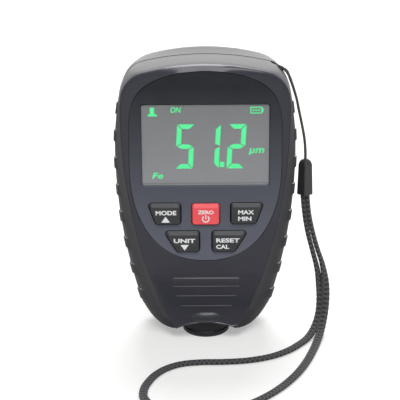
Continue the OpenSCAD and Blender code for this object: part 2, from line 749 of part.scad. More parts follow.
module main_board() {
    color([0.1, 0.35, 0.2]) slab_y(board_y, board_back_y) difference() {
        union() {
            polygon([
                [-board_toe, board_bottom], [board_toe, board_bottom],
                [board_half_w, board_shoulder], [board_half_w, lcd_top],
                [-board_half_w, lcd_top], [-board_half_w, board_shoulder]
            ]);
            translate([-board_tab, lcd_top - eps])
                square([2 * board_tab, tab_z + board_edge - lcd_top + eps]);
        }
        for (p = BOARD_SCREW_AT) translate(p) circle(board_screw_r + 0.2);
    }
}
module microcontroller() {
    color([0.1, 0.1, 0.11]) translate([chip_at[0], board_back_y, chip_at[1]]) {
        translate([-chip / 2, 0.1, -chip / 2]) cube([chip, chip_t, chip]);
        for (turn = [0 : 90 : 270], i = [0 : lead_count - 1]) rotate([0, turn, 0])
            translate([mix(1, chip - 1, i / (lead_count - 1)) - chip / 2, 0, chip / 2 - lead[2] / 3])
                translate([-lead[0] / 2, 0, 0]) cube(lead);
    }
}
module key_domes() {
    color([0.75, 0.75, 0.77]) for (p = KEY_CENTRES)
        translate([p[0], board_y - dome_t, p[1]]) rotate([-90, 0, 0])
            cylinder(h = dome_t, r1 = dome_r * 0.7, r2 = dome_r);
}
module buzzer() {
    color([0.12, 0.12, 0.13]) mirror([1, 0, 0]) difference() {
        rod_y(buzzer_at, buzzer_r, board_back_y, board_back_y + buzzer_h);
        rod_y(buzzer_at, buzzer_hole_r, board_back_y + buzzer_h / 2, board_back_y + 2 * buzzer_h);
    }
}
module keypad_mat() {
    color([0.3, 0.3, 0.32]) slab_y(mat_front_y, board_y) difference() {
        hull() key_outlines(key_flange);
        for (p = KEY_CENTRES) translate(p) circle(plunger_r + 1.2);
    }
}

module key_cap(k, centre) {
    hull() {
        slab_y(face_y, flange_y + flange_t / 2) key_outline(k, 0);
        slab_y(key_top_y, key_top_y + eps) key_outline(k, -key_draft, key_slope - key_draft);
    }
    slab_y(flange_y, flange_y + flange_t) key_outline(k, key_flange);
    rod_y(centre, plunger_r, flange_y + flange_t / 2, plunger_end_y);
}
module key_mode_up() {
    color([0.16, 0.16, 0.17]) mirror([1, 0, 0]) key_cap(UPPER_KEY, KEY_CENTRES[2]);
}
module key_power() {
    color([0.85, 0.1, 0.12]) key_cap(POWER_KEY, KEY_CENTRES[1]);
}
module key_max_min() {
    color([0.16, 0.16, 0.17]) key_cap(UPPER_KEY, KEY_CENTRES[2]);
}
module key_unit_down() {
    color([0.16, 0.16, 0.17]) mirror([1, 0, 0]) key_cap(LOWER_KEY, KEY_CENTRES[4]);
}
module key_cal() {
    color([0.16, 0.16, 0.17]) key_cap(LOWER_KEY, KEY_CENTRES[4]);
}

// Cell standing on its flat end, with its nub up
module cell() {
    nub_h = 1;
    nub_r = 1.9;
    rotate_extrude() polygon([
        [0, 0], [cell_r - 0.5, 0], [cell_r, 0.5], [cell_r, cell_l - nub_h - 0.5],
        [cell_r - 0.5, cell_l - nub_h], [nub_r, cell_l - nub_h], [nub_r, cell_l], [0, cell_l]
    ]);
}
module battery_cell_left() {
    color([0.35, 0.36, 0.38]) translate([-cell_pitch / 2, cell_y, cell_high]) cell();
}
module battery_cell_right() {
    color([0.35, 0.36, 0.38]) translate([cell_pitch / 2, cell_y, cell_low + cell_l]) mirror([0, 0, 1]) cell();
}
module battery_springs() {
    seat = contact_t + spring_seat;
    color([0.75, 0.75, 0.78]) {
        translate([-cell_pitch / 2, cell_y, 0])
            coil_spring(cell_spring_r, cell_wire_r, bay_z + seat, cell_high - spring_seat, 3);
        translate([cell_pitch / 2, cell_y, 0])
            coil_spring(cell_spring_r, cell_wire_r, cell_low + cell_l + spring_seat, bay_top - seat, 3);
    }
}
module battery_contacts() {
    color([0.75, 0.75, 0.78]) {
        for (side = [-1, 1]) translate([side * cell_pitch / 2 - contact_h / 2, cell_y - contact_h / 2, bay_z])
            cube([contact_h, contact_h, contact_t]);
        translate([-cell_pitch / 2 - contact_h / 2, cell_y - contact_h / 2, bay_top - contact_t])
            cube([cell_pitch + contact_h, contact_h, contact_t]);
    }
}
module battery_cover() {
    color([0.2, 0.2, 0.22]) {
        slab_y(cover_in_y, back_y) translate([0, (cover_turn_z + cover_top) / 2])
            square([2 * cover_half_w, cover_top - cover_turn_z], center = true);
        translate([-cover_half_w, cover_turn_y, cover_turn_z]) rotate([0, 90, 0])
            cylinder(h = 2 * cover_half_w, r = cover_t / 2);
        translate([-hook_w / 2, cover_in_y - hook_gap - hook_t, cover_z]) {
            translate([0, 0, -hook_drop]) cube([hook_w, hook_t, hook_drop + cover_t]);
            translate([0, 0, cover_t / 2]) cube([hook_w, hook_t + hook_gap + 0.5, cover_t / 2]);
        }
        for (i = [0 : cover_ridges - 1])
            translate([-ridge_l / 2, back_y, cover_top - 4 - ridge_pitch * i]) rotate([0, 90, 0])
                cylinder(h = ridge_l, r = ridge_r);
    }
}

// Probe: the sleeve is the foot, and the core slides in it on a spring
module probe_sleeve() {
    color([0.13, 0.13, 0.15]) difference() {
        rotate_extrude() polygon([
            [guide_r - 1, 0], [foot_r - 0.5, 0], [foot_r, 0.5], [foot_r, 1.8], [foot_r - 0.3, 2.1],
            [foot_r - 0.3, 2.5], [foot_r, 2.8], [foot_r, floor_z], [flange_r, floor_z],
            [flange_r, floor_z + flange_t_probe], [neck_r, floor_z + flange_t_probe], [neck_r, cap_z],
            [guide_r, cap_z], [guide_r, 1.2], [guide_r - 1, 1.2]
        ]);
        rotate([0, 90, 0]) rotate([0, 0, 45])
            cube([groove_depth * sqrt(2), groove_depth * sqrt(2), 3 * foot_r], center = true);
    }
}
module probe_pole() {
    color([0.7, 0.7, 0.72]) rotate_extrude() {
        translate([0, 0.6]) square([pole_r, cap_z + cap_t - 0.6]);
        polygon([[0, 0], [pole_r - 0.9, 0], [pole_r - 0.25, 0.2], [pole_r, 0.6], [0, 0.6]]);
    }
}
module probe_bobbin() {
    color([0.85, 0.83, 0.76]) rotate_extrude() {
        translate([pole_r + slip, core_low]) square([hub_r - pole_r - slip, core_top - core_low]);
        for (z = [core_low, core_top - core_flange_t])
            translate([pole_r + slip, z]) square([guide_r - 0.2 - pole_r - slip, core_flange_t]);
    }
}
module probe_coil() {
    color([0.72, 0.4, 0.2]) translate([0, 0, core_low + core_flange_t]) difference() {
        cylinder(h = coil_l, r = guide_r - 0.6);
        translate([0, 0, -1]) cylinder(h = coil_l + 2, r = hub_r + slip);
    }
}
module probe_spring() {
    color([0.75, 0.75, 0.78])
        coil_spring(probe_spring_r, probe_wire_r, core_top + spring_seat, cap_z - spring_seat, 4);
}
module probe_cap() {
    color([0.2, 0.2, 0.22]) rotate_extrude() polygon([
        [pole_r + neck_gap, cap_z], [neck_r + cap_gap, cap_z], [neck_r + cap_gap, cap_z - cap_skirt],
        [neck_r + cap_gap + cap_wall, cap_z - cap_skirt], [neck_r + cap_gap + cap_wall, cap_z + cap_t],
        [pole_r + neck_gap, cap_z + cap_t]
    ]);
}

// Pan-head screw that points towards the face, with its head's seat at a depth
module screw(at, r, head_r, head_h, l, seat) {
    difference() {
        union() {
            rod_y(at, r, seat - l, seat + eps);
            rod_y(at, head_r, seat, seat + head_h);
        }
        translate([at[0], seat + head_h, at[1]]) for (turn = [0, 90]) rotate([0, turn, 0])
            cube([head_r * 1.2, head_h, head_r * 0.3], center = true);
    }
}
module housing_screws() {
    color([0.5, 0.5, 0.52]) for (p = SCREW_AT)
        screw(p, screw_r, screw_head_r, screw_head_h, screw_l - 0.5, screw_seat_y);
}
module board_screws() {
    color([0.6, 0.6, 0.62]) for (p = BOARD_SCREW_AT)
        screw(p, board_screw_r, board_head_r, board_head_h, board_gap + board_t - 0.5, board_back_y);
}

module strap_pin() {
    color([0.5, 0.5, 0.52]) rod_y(eye, strap_pin_r, parting_y - eye_h + 0.1, parting_y + eye_h - 0.1);
}
module strap_thread() {
    color([0.1, 0.1, 0.11]) swept(THREAD_ROUTE, thread_d, thread_d, 8, [0, 1, 0]);
}
module clasp_layer(z, side) {
    translate([0, 0, z]) linear_extrude(0.2) rounded_rect(side, side, 0.5, $fn = 16);
}
module strap_clasp() {
    color([0.17, 0.17, 0.18]) translate(clasp_at) rotate([0, 0, 40]) hull() {
        clasp_layer(0, clasp_side);
        clasp_layer(clasp_h - 2, clasp_side - 0.5);
        clasp_layer(clasp_h - 0.8, clasp_side - 1.2);
        clasp_layer(clasp_h - 0.2, clasp_side - 2.2);
    }
}
module strap_loop() {
    color([0.1, 0.1, 0.11]) swept(LOOP_ROUTE, braid_w, braid_t, 8, [0, 0, 1]);
}

front_shell();
rear_shell();
face_panel();
display_window();
lcd_glass();
lcd_backlight();
zebra_strip();
main_board();
microcontroller();
key_domes();
buzzer();
keypad_mat();
key_mode_up();
key_power();
key_max_min();
key_unit_down();
key_cal();
battery_cell_left();
battery_cell_right();
battery_springs();
battery_contacts();
battery_cover();
probe_sleeve();
probe_pole();
probe_bobbin();
probe_coil();
probe_spring();
probe_cap();
housing_screws();
board_screws();
strap_pin();
strap_thread();
strap_clasp();
strap_loop();
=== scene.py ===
"""Looks of the hand-held coating thickness gauge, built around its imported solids."""

import math

import bmesh
import bpy
from mathutils import Matrix, Vector


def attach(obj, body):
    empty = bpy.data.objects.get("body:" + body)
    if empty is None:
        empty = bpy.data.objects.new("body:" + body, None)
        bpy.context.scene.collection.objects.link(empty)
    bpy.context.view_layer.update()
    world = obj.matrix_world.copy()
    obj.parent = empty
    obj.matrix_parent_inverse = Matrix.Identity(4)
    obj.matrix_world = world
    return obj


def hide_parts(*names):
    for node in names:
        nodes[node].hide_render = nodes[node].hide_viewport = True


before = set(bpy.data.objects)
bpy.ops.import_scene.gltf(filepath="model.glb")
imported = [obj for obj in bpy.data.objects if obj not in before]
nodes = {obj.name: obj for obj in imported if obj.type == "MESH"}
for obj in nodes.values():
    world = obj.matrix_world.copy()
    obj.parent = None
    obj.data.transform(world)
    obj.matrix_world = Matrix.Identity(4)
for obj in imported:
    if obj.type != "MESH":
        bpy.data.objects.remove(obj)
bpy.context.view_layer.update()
scene = bpy.context.scene
scene.view_settings.view_transform = "Standard"

MM = 0.001
TURN = 2 * math.pi

# Camera at the photograph's angle, for a square image: place in millimetres, degrees and lens
CAMERA_AT = (-1.9, -479, 217)
CAMERA_DOWN = 19.4
CAMERA_ROLL = -0.35
CAMERA_LENS = 132.2
SENSOR_W = 36

# Housing, in millimetres: the parting line, and the heights between which the grips fade out
SPLIT_Y = 1.6
GRIP_TOP_Z = 85
GRIP_END_Z = 91

# Face, in millimetres: the tops of the keys, and the heights between which the film's painted shade at the
# top turns to painted reflection below
KEY_TOP_Y = -14.1
FILM_TOP_Z = 92
FILM_LOW_Z = 34

# Pale band of the cells, in millimetres: the height where it begins, and the width of its soft edge
CELL_BAND_Z = 74
CELL_BAND_EDGE = 0.2

# Window, in millimetres: its left, right, lower and upper side, and the radius of its corners
WINDOW = (-21.6, 21.6, 57.6, 86.4)
WINDOW_R = 1.2

# Chamfer of the window, in millimetres: its outer and its inner edge, each as an inset and a Y
CHAMFER = ((0.02, -13.01), (0.45, -12.58))

# Pane and display sheet, in millimetres: inset, front and thickness of each, and their corner radius
PANE_INSET = 0.1
PANE_Y = -12.6
PANE_T = 0.2
SHEET_INSET = 0.2
SHEET_Y = -12.3
SHEET_T = 0.1
SHEET_R = 1.1

# Display, in millimetres: the heights between which its painted reflection grows paler downwards, and
# where its glass steps back, with painted shade above and a painted highlight below
SHEET_TOP_Z = 84
SHEET_LOW_Z = 60
SHEET_STEP_Z = 58.5

# Lit signs, in millimetres: their front and thickness; and the lean of the words
LIT_Y = -12.34
LIT_T = 0.03
SIGN_LEAN = 0.2

# Lit figures, in millimetres: each with its centre, their size, bars and gaps; and their lean
FIGURES = (("5", -6.8), ("1", 1.85), ("2", 10.35))
FIGURE_LOW = 63.8
FIGURE_HIGH = 79.2
FIGURE_W = 5.9
FIGURE_BAR = 1.6
FIGURE_GAP = 0.2
FIGURE_LEAN = 0.055
LIT_BARS = {"5": "afgcd", "1": "bc", "2": "abged"}
POINT = (4.75, 6.3, 64.3, 66.1)
POINT_R = 0.2

# Legends, in millimetres: their front and thickness; and the weight of the words
LEGEND_Y = KEY_TOP_Y - 0.012
LEGEND_T = 0.02
LEGEND_WEIGHT = 0.035

# Sections of the cords, in metres, and the sides that draw them
THREAD_D = 0.0009
THREAD_SIDES = 10
BRAID_W = 0.0028
BRAID_T = 0.00165
BRAID_SIDES = 20

# Yarns: millimetres along a twist and a crossing, turns round the cord, and the share they swell by
THREAD_TWIST = 1.3
BRAID_CROSSING = 1.7
YARNS = 2.0
YARN_SWELL = 0.05

# Routes of the cords, in millimetres
THREAD_ROUTE = [
    (34.4, 1.1, 62.4), (34.3, 1.1, 66), (33.9, 1.1, 70), (33, 1.1, 74.8), (32, 1.1, 79.4),
    (31.1, 1.1, 83.7), (30.1, 1.1, 87.2), (29.3, 1.1, 89.6), (28.5, 1.1, 91.8), (27.4, 1.1, 93.6),
    (25.9, 1.1, 95), (24.2, 1.1, 95.6), (22.6, 1.1, 95.5), (21, 1.1, 95), (20, 1.2, 93.8),
    (20, 1.4, 92.4), (21, 1.7, 91.3), (22.5, 1.9, 91.2), (23.7, 2.1, 92.1), (24.8, 2.1, 93.2),
    (25.9, 2.1, 94.1), (27, 2.1, 94.1), (27.9, 2.1, 93.1), (28.5, 2.1, 91.5), (29.3, 2.1, 89.4),
    (30.1, 2.1, 87), (31.1, 2.1, 83.7), (32, 2.1, 79.4), (33, 2.1, 74.8), (33.9, 2.1, 70),
    (34.3, 2.1, 66), (34.4, 2.1, 62.4),
]
LOOP_ROUTE = [
    (33.7, 1.6, 49.8), (34.4, 1.6, 43), (35.6, 1.5, 36), (37.4, 1.4, 29), (39, 1.1, 23),
    (40, 0.4, 17), (40.4, -1, 11.5), (39.8, -3.4, 6.6), (38, -7, 3), (35.4, -11.4, 1.2),
    (32, -16.4, 0.9), (27.6, -21.6, 0.9), (21.6, -26, 0.9), (14, -28.8, 0.9), (6, -29.8, 0.9),
    (-2, -30, 0.9), (-8.6, -31.4, 0.9), (-13.4, -34.6, 0.9), (-16.8, -39, 0.9), (-19, -44, 0.9),
    (-20.4, -49.6, 0.9), (-20.2, -56, 0.9), (-16.6, -62, 0.9), (-10, -65.6, 0.9), (-2, -66.6, 0.9),
    (6, -64.8, 0.9), (13.4, -60.6, 0.9), (19.4, -55, 0.9), (24.4, -48.6, 0.9), (28.4, -42, 0.9),
    (31.6, -35.4, 0.9), (34.2, -28.6, 0.9), (36.4, -21.6, 0.9), (38.4, -14.6, 1.2), (40.2, -8.4, 3),
    (41.6, -4, 7.4), (42.2, -1.4, 12.6), (42, 0.2, 18.2), (40.9, 1.1, 24.2), (39, 1.4, 30),
    (37.2, 1.5, 36.6), (35.9, 1.6, 43), (35.2, 1.6, 49.8),
]

# Stretches in which the cords are drawn between two points of their routes
THREAD_STEPS = 7
LOOP_STEPS = 18

# Mending of folded triangles: the angle of a fold, a short edge and equal places in metres, and the rounds
FOLD_DEG = 176
SHORT_EDGE = 0.002
SAME = 0.000001
MEND_ROUNDS = 20

# Angles in degrees from which an edge stays sharp, on the shells and on smaller pieces
SHELL_SHARP = 28
SMALL_SHARP = 30

# Floor, in metres: half its side, and how far it lies below the foot
FLOOR_HALF = 3
FLOOR_DROP = 0.00002


# Materials

class Value:
    """A shader value that Python's operators turn into Math nodes."""

    def __init__(self, finish, socket):
        self.finish = finish
        self.socket = socket

    def math(self, operation, *terms):
        return self.finish.add("ShaderNodeMath", {"operation": operation}, dict(enumerate(terms)))

    def __add__(self, other):
        return self.math("ADD", self, other)

    def __sub__(self, other):
        return self.math("SUBTRACT", self, other)

    def __rsub__(self, other):
        return self.math("SUBTRACT", other, self)

    def __mul__(self, other):
        return self.math("MULTIPLY", self, other)

    def __abs__(self):
        return self.math("ABSOLUTE", self)

    __radd__ = __add__
    __rmul__ = __mul__

    def sine(self):
        return self.math("SINE", self)

    def larger(self, other):
        return self.math("MAXIMUM", self, other)


class Finish:
    """The looks of a material or of the world, and the nodes that give them."""

    def __init__(self, owner, slot=None):
        owner.use_nodes = True
        self.owner = owner
        self.tree = owner.node_tree
        self.slot = slot

    def feed(self, socket, value):
        if isinstance(value, Value):
            self.tree.links.new(value.socket, socket)
        else:
            socket.default_value = value

    def add(self, kind, settings=None, sockets=None, out=0):
        node = self.tree.nodes.new(kind)
        for key, value in (settings or {}).items():
            setattr(node, key, value)
        for key, value in (sockets or {}).items():
            self.feed(node.inputs[key], value)
        return Value(self, node.outputs[out])

    def place(self, out="Object"):
        return self.add("ShaderNodeTexCoord", out=out)

    def axes(self, vector):
        parts = self.add("ShaderNodeSeparateXYZ", sockets={"Vector": vector}).socket.node
        return [Value(self, parts.outputs[i]) for i in range(3)]

    def noise(self, vector, scale, detail=2.0, rough=0.5):
        return self.add("ShaderNodeTexNoise", sockets={
            "Vector": vector, "Scale": scale, "Detail": detail, "Roughness": rough})

    def ramp(self, value, low, high):
        """Rises from nothing to one between two values, or falls where the first is the larger."""
        return self.add("ShaderNodeMapRange", {"clamp": True}, {
            "Value": value, "From Min": low, "From Max": high})

    def blend(self, share, a, b):
        return self.add("ShaderNodeMix", {"data_type": "RGBA"}, {
            0: share, 6: paint(a), 7: paint(b)}, out=2)

    def relief(self, height, depth, strength=1.0):
        return self.add("ShaderNodeBump", sockets={
            "Height": height, "Distance": depth, "Strength": strength})

    def seen(self):
        """One for what the camera, a mirror or a clear pane sees, and nothing for other light."""
        path = self.add("ShaderNodeLightPath").socket.node
        kinds = ("Is Camera Ray", "Is Glossy Ray", "Is Transmission Ray")
        camera, glossy, through = [Value(self, path.outputs[kind]) for kind in kinds]
        return camera.larger(glossy).larger(through)

    def shade(self, node="Principled BSDF", **sockets):
        """Feeds inputs of the shader node, named with underscores for spaces."""
        for key, value in sockets.items():
            self.feed(self.tree.nodes[node].inputs[key.replace("_", " ")], value)
        return self


def new_finish(name, slot=None):
    """A finish with a material of its own."""
    return Finish(bpy.data.materials.new(name), slot)


def paint(colour):
    """A colour of three linear numbers as the four that a socket takes."""
    return colour if isinstance(colour, Value) else (*colour[:3], 1)


def moulded_plastic(name, slot, dark, light, rough, grain_mm, depth_mm):
    """Moulded plastic with a fine spark-eroded texture and faint flow marks."""
    f = new_finish(name, slot)
    at = f.place()
    grain = f.noise(at, 1 / (grain_mm * MM), 3)
    flow = f.noise(at, 45, 3, 0.6)
    speckle = f.ramp(f.noise(at, 1600, 2), 0.55, 0.8)
    colour = f.blend(f.ramp(flow, 0.3, 0.7), dark, light)
    colour = f.blend(speckle * 0.12, colour, (0.12, 0.12, 0.125))
    return f.shade(Base_Color=colour, Roughness=rough - 0.06 + 0.12 * grain, Specular_IOR_Level=0.3,
                   Normal=f.relief(grain, depth_mm * MM, 0.6))


def housing_plastic():
    """Satin moulded housing: coarser on its grips, with a painted highlight on their ledges and painted
    shade in the split line.
    """
    f = new_finish("housing_plastic", "housing")
    at = f.place()
    _, y, z = f.axes(at)
    sideways, _, upwards = f.axes(f.place("Normal"))
    below_crown = f.ramp(z, GRIP_END_Z * MM, GRIP_TOP_Z * MM)
    # Up-facing ledges of the grips, where a pale painted highlight goes
    ledge_highlight = f.ramp(upwards, 0.55, 0.7) * f.ramp(abs(sideways), 0.25, 0.4) * below_crown
    grip = f.ramp(abs(sideways), 0.3, 0.6) * below_crown * (1 - ledge_highlight)
    # Band along the parting line that gets a near-black painted shade
    split_shade = f.ramp(abs(y - SPLIT_Y * MM), 0.5 * MM, 0.35 * MM)
    grain = f.noise(at, 2900, 3)
    pebbles = f.noise(at, 1700, 2)
    flow = f.noise(at, 45, 3, 0.6)
    colour = f.blend(f.ramp(flow, 0.3, 0.7), (0.016, 0.0165, 0.027), (0.022, 0.0225, 0.035))
    colour = f.blend(grip, colour, (0.014, 0.014, 0.018))
    # Pale colour on the ledges is a painted highlight
    colour = f.blend(ledge_highlight, colour, (0.19, 0.19, 0.2))
    # Near-black colour in the split line is painted shade
    colour = f.blend(split_shade, colour, (0.004, 0.004, 0.004))
    rough = 0.25 + 0.12 * grain + 0.45 * grip.larger(split_shade)
    return f.shade(Base_Color=colour, Roughness=rough, Specular_IOR_Level=0.4,
                   Normal=f.relief(grain + 4 * grip * pebbles, 0.012 * MM, 0.6))


def face_film():
    """Satin film of the face panel, with painted shade darkening it towards its top and painted reflection
    lightening it lower down, and a faint haze.
    """
    f = new_finish("face_film", "panel")
    at = f.place()
    haze = f.noise(at, 90, 3)
    grain = f.noise(at, 5000, 2)
    painted_light_fall = f.ramp(f.axes(at)[2], FILM_TOP_Z * MM, FILM_LOW_Z * MM)
    # Near black at the top is painted shade under the rim; the paler colour lower down is painted
    # reflection
    colour = f.blend(painted_light_fall, (0.004, 0.005, 0.009), (0.116, 0.126, 0.162))
    colour = f.blend(f.ramp(haze, 0.3, 0.7) * 0.12, colour, (0.07, 0.07, 0.08))
    return f.shade(Base_Color=colour, Roughness=0.33 + 0.08 * grain, Specular_IOR_Level=0.25,
                   Normal=f.relief(grain, 0.004 * MM, 0.4))


def rubber(name, slot, dark, light):
    """Satin silicone with a very fine grain and dust in it."""
    f = new_finish(name, slot)
    at = f.place()
    grain = f.noise(at, 4200, 3)
    dust = f.ramp(f.noise(at, 900, 4), 0.6, 0.75)
    colour = f.blend(f.ramp(f.noise(at, 220, 2), 0.3, 0.7), dark, light)
    colour = f.blend(dust * 0.05, colour, (0.4, 0.4, 0.4))
    return f.shade(Base_Color=colour, Roughness=0.42 + 0.12 * grain,
                   Normal=f.relief(grain, 0.008 * MM, 0.5))


def clear_pane():
    """Clear window with faint smears."""
    f = new_finish("clear_pane", "window")
    smear = f.noise(f.place(), 140, 3)
    f.owner.surface_render_method = "BLENDED"
    return f.shade(Base_Color=paint((0.3, 0.3, 0.31)), Roughness=0.06 + 0.1 * smear,
                   Alpha=0.06 + 0.04 * smear, Specular_IOR_Level=0.5)


def display_grey():
    """Grey display, with painted reflection making it paler towards its lower edge, and painted shade
    above and a painted highlight below where its glass steps back.
    """
    f = new_finish("display_grey", "display")
    at = f.place()
    height = f.axes(at)[2]
    rows = (height * (TURN / (0.42 * MM))).sine()
    # Paler towards the lower edge is painted reflection
    painted_light_fall = f.ramp(height, SHEET_TOP_Z * MM, SHEET_LOW_Z * MM)
    # Pale strip below the glass's step is a painted highlight
    step_highlight = f.ramp(height, SHEET_STEP_Z * MM, (SHEET_STEP_Z - 0.1) * MM)
    # Dark line just above the step is painted shade
    line = f.ramp(abs(height - (SHEET_STEP_Z + 0.15) * MM), 0.3 * MM, 0.1 * MM)
    colour = f.blend(painted_light_fall, (0.200, 0.206, 0.212), (0.298, 0.302, 0.320))
    colour = f.blend(f.ramp(rows, -1, 1) * 0.04, colour, (0.3, 0.3, 0.31))
    colour = f.blend(step_highlight * 0.6, colour, (0.34, 0.345, 0.355))
    colour = f.blend(line * 0.5, colour, (0.1, 0.1, 0.105))
    return f.shade(Base_Color=colour, Roughness=0.35 + 0.1 * f.noise(at, 300))


def lit_green():
    """Green light of the display's figures."""
    f = new_finish("lit_green", "display")
    glow = f.noise(f.place(), 500, 2)
    colour = f.blend(glow, (0.04, 0.93, 0.29), (0.07, 1.0, 0.35))
    return f.shade(Base_Color=paint((0.02, 0.2, 0.08)), Emission_Color=colour,
                   Emission_Strength=0.85, Roughness=0.4)


def legend_ink():
    """White ink of the legends."""
    f = new_finish("legend_ink", "key_rubber")
    worn = f.noise(f.place(), 2500, 3)
    colour = f.blend(f.ramp(worn, 0.45, 0.75), (0.86, 0.87, 0.87), (0.7, 0.71, 0.71))
    return f.shade(Base_Color=colour, Roughness=0.5 + 0.1 * worn)


def metal(name, slot, colour, rough):
    """Plated or ground metal with fine marks along Z."""
    f = new_finish(name, slot)
    at = f.add("ShaderNodeMapping", sockets={"Vector": f.place(), "Scale": (1, 1, 0.08)})
    marks = f.noise(at, 5000, 3)
    tone = f.blend(marks, [c * 0.85 for c in colour], colour)
    return f.shade(Base_Color=tone, Metallic=1.0, Roughness=rough - 0.08 + 0.16 * marks)


def solder_mask():
    """Green board with traces under the lacquer."""
    f = new_finish("solder_mask", "board")
    x, _, z = f.axes(f.place())
    sway = (z * (TURN / (9 * MM))).sine() * 1.4
    trace = (x * (TURN / (1.6 * MM)) + sway).sine()
    colour = f.blend(f.ramp(trace, 0.2, 0.5), (0.012, 0.085, 0.03), (0.03, 0.17, 0.06))
    return f.shade(Base_Color=colour, Roughness=0.3 + 0.1 * f.noise(f.place(), 800), Coat_Weight=0.3)


def striped_silicone():
    """Silicone connector with dark conducting stripes."""
    f = new_finish("striped_silicone", "connector_rubber")
    x = f.axes(f.place())[0]
    stripe = f.ramp((x * (TURN / (0.3 * MM))).sine(), -0.1, 0.1)
    return f.shade(Base_Color=f.blend(stripe, (0.55, 0.3, 0.33), (0.05, 0.05, 0.05)), Roughness=0.5)


def enamelled_wire():
    """Turns of enamelled wire."""
    f = new_finish("enamelled_wire", "winding")
    at = f.place()
    turns = (f.axes(at)[2] * (TURN / (0.22 * MM))).sine()
    colour = f.blend(f.noise(at, 700), (0.42, 0.15, 0.05), (0.6, 0.27, 0.1))
    return f.shade(Base_Color=colour, Metallic=0.8, Roughness=0.3,
                   Normal=f.relief(turns, 0.04 * MM, 0.8))


def cell_sleeve():
    """Plain printed sleeve of a cell with a paler band at one end."""
    f = new_finish("cell_sleeve", "cell")
    at = f.place()
    band = f.ramp(f.axes(at)[2], CELL_BAND_Z * MM, (CELL_BAND_Z + CELL_BAND_EDGE) * MM)
    colour = f.blend(band, (0.03, 0.03, 0.034), (0.42, 0.3, 0.12))
    return f.shade(Base_Color=colour, Roughness=0.25 + 0.1 * f.noise(at, 500), Metallic=0.3)


def woven_braid():
    """Flat woven braid: slanting yarns that cross along the strap's own map."""
    f = new_finish("woven_braid", "strap")
    along, across, _ = f.axes(f.place("UV"))
    one = ((along * (1 / BRAID_CROSSING) + across * YARNS) * TURN).sine()
    two = ((along * (1 / BRAID_CROSSING) - across * YARNS) * TURN).sine()
    weave_and_painted_shade = f.ramp(one.larger(two), 0.2, 1.0)
    fibre = f.noise(f.place(), 6000, 3)
    # The colour follows the weave: painted shade in the gaps between yarns and a painted highlight on
    # their tops
    colour = f.blend(weave_and_painted_shade, (0.005, 0.005, 0.006), (0.075, 0.075, 0.08))
    colour = f.blend(fibre * 0.15, colour, (0.13, 0.13, 0.135))
    return f.shade(Base_Color=colour, Roughness=0.8,
                   Normal=f.relief(weave_and_painted_shade + fibre * 0.3, 0.16 * MM, 0.9),
                   Sheen_Weight=0.1, Sheen_Roughness=0.5)


def twisted_thread():
    """Thread of twisted yarns, with the twist along its own map."""
    f = new_finish("twisted_thread", "strap")
    along, across, _ = f.axes(f.place("UV"))
    twist = ((along * (1 / THREAD_TWIST) + across * YARNS) * TURN).sine()
    fibre = f.noise(f.place(), 9000, 2)
    # The colour follows the twist: painted shade in the grooves between yarns and a painted highlight on
    # their crests
    colour = f.blend(f.ramp(twist, -1, 1), (0.012, 0.012, 0.013), (0.075, 0.075, 0.08))
    colour = f.blend(fibre * 0.3, colour, (0.14, 0.14, 0.14))
    return f.shade(Base_Color=colour, Roughness=0.75, Normal=f.relief(twist, 0.1 * MM, 0.8))


def pale_floor():
    """Pale floor that stays near white for the camera and keeps the shadow."""
    f = new_finish("pale_floor")
    return f.shade(Base_Color=paint((0.66, 0.66, 0.655)), Roughness=0.9, Specular_IOR_Level=0.0,
                   Emission_Color=paint((1, 1, 0.99)), Emission_Strength=f.seen() * 0.38)


def studio_world():
    """Soft even light from all round, which shows itself as a white room."""
    f = Finish(bpy.data.worlds.new("studio"))
    f.shade("Background", Color=(1, 1, 1, 1), Strength=f.seen() * 0.82 + 0.18)
    scene.world = f.owner


HOUSING = housing_plastic()
FOOT = moulded_plastic(
    "foot_plastic", "foot", (0.007, 0.007, 0.010), (0.010, 0.010, 0.013), 0.45, 0.3, 0.01)
CLASP = moulded_plastic(
    "clasp_plastic", "clasp", (0.03, 0.03, 0.033), (0.04, 0.04, 0.043), 0.35, 0.3, 0.012)
CHIP = moulded_plastic(
    "chip_plastic", "chip", (0.016, 0.016, 0.017), (0.024, 0.024, 0.025), 0.55, 0.2, 0.01)
BOBBIN = moulded_plastic(
    "bobbin_plastic", "bobbin", (0.66, 0.62, 0.5), (0.74, 0.7, 0.6), 0.5, 0.3, 0.01)
GUIDE = moulded_plastic(
    "light_guide", "backlight", (0.75, 0.8, 0.75), (0.82, 0.86, 0.82), 0.3, 0.4, 0.004)
PANEL = face_film()
KEY = rubber("key_rubber", "key_rubber", (0.010, 0.011, 0.014), (0.014, 0.015, 0.019))
POWER = rubber("power_rubber", "power_rubber", (0.86, 0.075, 0.09), (0.90, 0.095, 0.11))
MAT = rubber("mat_rubber", "mat_rubber", (0.06, 0.06, 0.065), (0.08, 0.08, 0.085))
PANE = clear_pane()
DISPLAY = display_grey()
GREEN = lit_green()
INK = legend_ink()
NICKEL = metal("nickel", "contact_metal", (0.72, 0.71, 0.68), 0.25)
STEEL = metal("ground_steel", "pole", (0.62, 0.62, 0.64), 0.3)
ZINC = metal("zinc", "screw", (0.42, 0.42, 0.44), 0.38)
BOARD = solder_mask()
ZEBRA = striped_silicone()
WIRE = enamelled_wire()
SLEEVE = cell_sleeve()
BRAID = woven_braid()
THREAD = twisted_thread()
FLOOR = pale_floor()


# Pieces

def mesh_object(name, bm, finish):
    """An object at the origin from a bmesh, with a finish."""
    mesh = bpy.data.meshes.new(name)
    bm.to_mesh(mesh)
    bm.free()
    mesh.materials.append(finish.owner)
    thing = bpy.data.objects.new(name, mesh)
    scene.collection.objects.link(thing)
    return thing


def piece(name, bm, finish, body="housing"):
    """A finished piece from a bmesh, riding on a body."""
    thing = mesh_object(name, bm, finish)
    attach(thing, body)
    return thing


